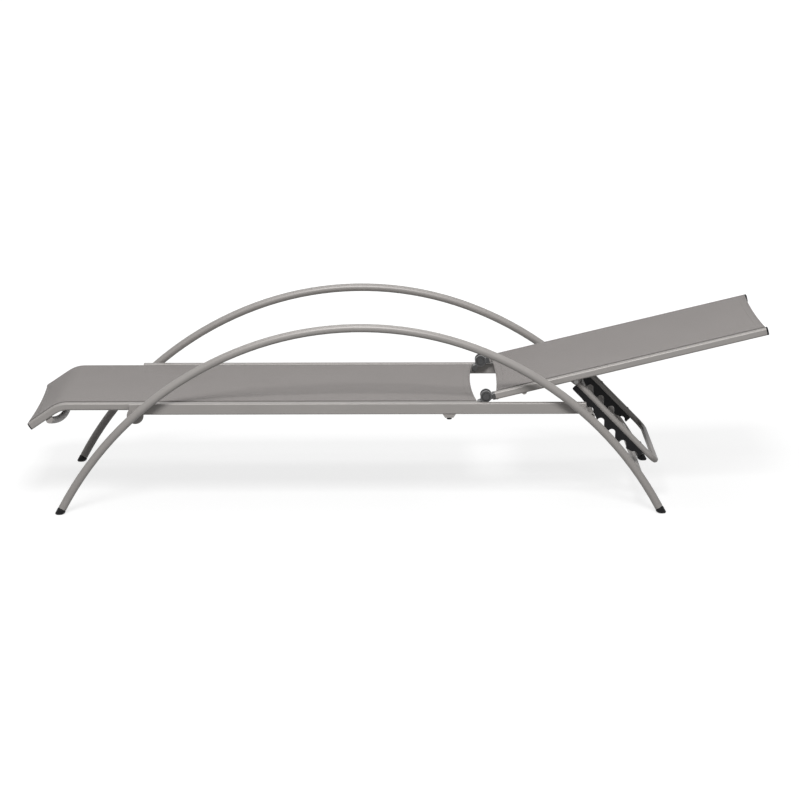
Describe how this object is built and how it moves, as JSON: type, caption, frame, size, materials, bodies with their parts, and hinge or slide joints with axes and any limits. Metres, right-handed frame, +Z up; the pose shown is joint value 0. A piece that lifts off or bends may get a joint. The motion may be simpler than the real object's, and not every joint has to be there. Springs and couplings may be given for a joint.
{
  "type": "sun lounger",
  "caption": "Flat sun lounger on arched tube side frames, with stretched sling panels and a back that reclines on a toothed prop.",
  "frame": {"origin": "on the floor, at the middle of the overall length and width with the back in its lowest notch", "axes": "+X towards the head end, +Y towards the right side of someone lying on it face up, +Z up"},
  "size_m": [1.9818, 0.623, 0.5168],
  "materials": {
    "frame_coat": "satin powder coat",
    "sling_mesh": "woven vinyl-coated mesh",
    "keder_cord": "matte",
    "black_plastic": "moulded, lightly grained",
    "hinge_plastic": "moulded, satin",
    "pin_steel": "brushed"
  },
  "bodies": {
    "base": {"arch_left": "frame_coat", "arch_right": "frame_coat", "beam_plug_front_left": "black_plastic", "beam_plug_front_right": "black_plastic", "beam_plug_rear_left": "black_plastic", "beam_plug_rear_right": "black_plastic", "catch_bar": "frame_coat", "foot_bow": "frame_coat", "foot_front_left": "black_plastic", "foot_front_right": "black_plastic", "foot_rear_left": "black_plastic", "foot_rear_right": "black_plastic", "front_bracket_left": "frame_coat", "front_bracket_right": "frame_coat", "front_cross_tube": "frame_coat", "hinge_bracket_left": "hinge_plastic", "hinge_bracket_right": "hinge_plastic", "hinge_cap_inner_left": "black_plastic", "hinge_cap_inner_right": "black_plastic", "hinge_cap_outer_left": "black_plastic", "hinge_cap_outer_right": "black_plastic", "hinge_pin_left": "pin_steel", "hinge_pin_right": "pin_steel", "mid_bow": "frame_coat", "mid_lug_left": "frame_coat", "mid_lug_right": "frame_coat", "mid_pad_left": "black_plastic", "mid_pad_right": "black_plastic", "rear_spacer_left": "frame_coat", "rear_spacer_right": "frame_coat", "rear_stretcher": "frame_coat", "seat_keder_left": "keder_cord", "seat_keder_right": "keder_cord", "seat_rail_cap_left": "black_plastic", "seat_rail_cap_right": "black_plastic", "seat_rail_left": "frame_coat", "seat_rail_right": "frame_coat", "seat_sling": "sling_mesh", "side_beam_left": "frame_coat", "side_beam_right": "frame_coat"},
    "back": {"back_bow": "frame_coat", "head_bow": "frame_coat", "back_sling": "sling_mesh", "hinge_knuckle_left": "hinge_plastic", "hinge_knuckle_right": "hinge_plastic", "back_rail_left": "frame_coat", "back_rail_right": "frame_coat", "back_rail_cap_left": "black_plastic", "back_rail_cap_right": "black_plastic", "back_keder_left": "keder_cord", "back_keder_right": "keder_cord", "prop_ear_left": "frame_coat", "prop_ear_right": "frame_coat", "prop_pin_left": "pin_steel", "prop_pin_right": "pin_steel"},
    "prop": {"prop_frame": "frame_coat", "rack_left": "black_plastic", "rack_right": "black_plastic"}
  },
  "joints": [
    {"name": "back_recline", "type": "hinge", "parent": "base", "child": "back", "pos_m": [0.23738, 0, 0.3085], "axis": [0, -1, 0], "range_deg": [0, 40]},
    {"name": "prop_swing", "type": "hinge", "parent": "back", "child": "prop", "pos_m": [0.47884, 0, 0.34384], "axis": [0, 1, 0], "range_deg": [0, 49.6]}
  ],
  "couplings": [
    {"joint": "prop_swing", "follows": "back_recline", "ratio": 1.24}
  ]
}
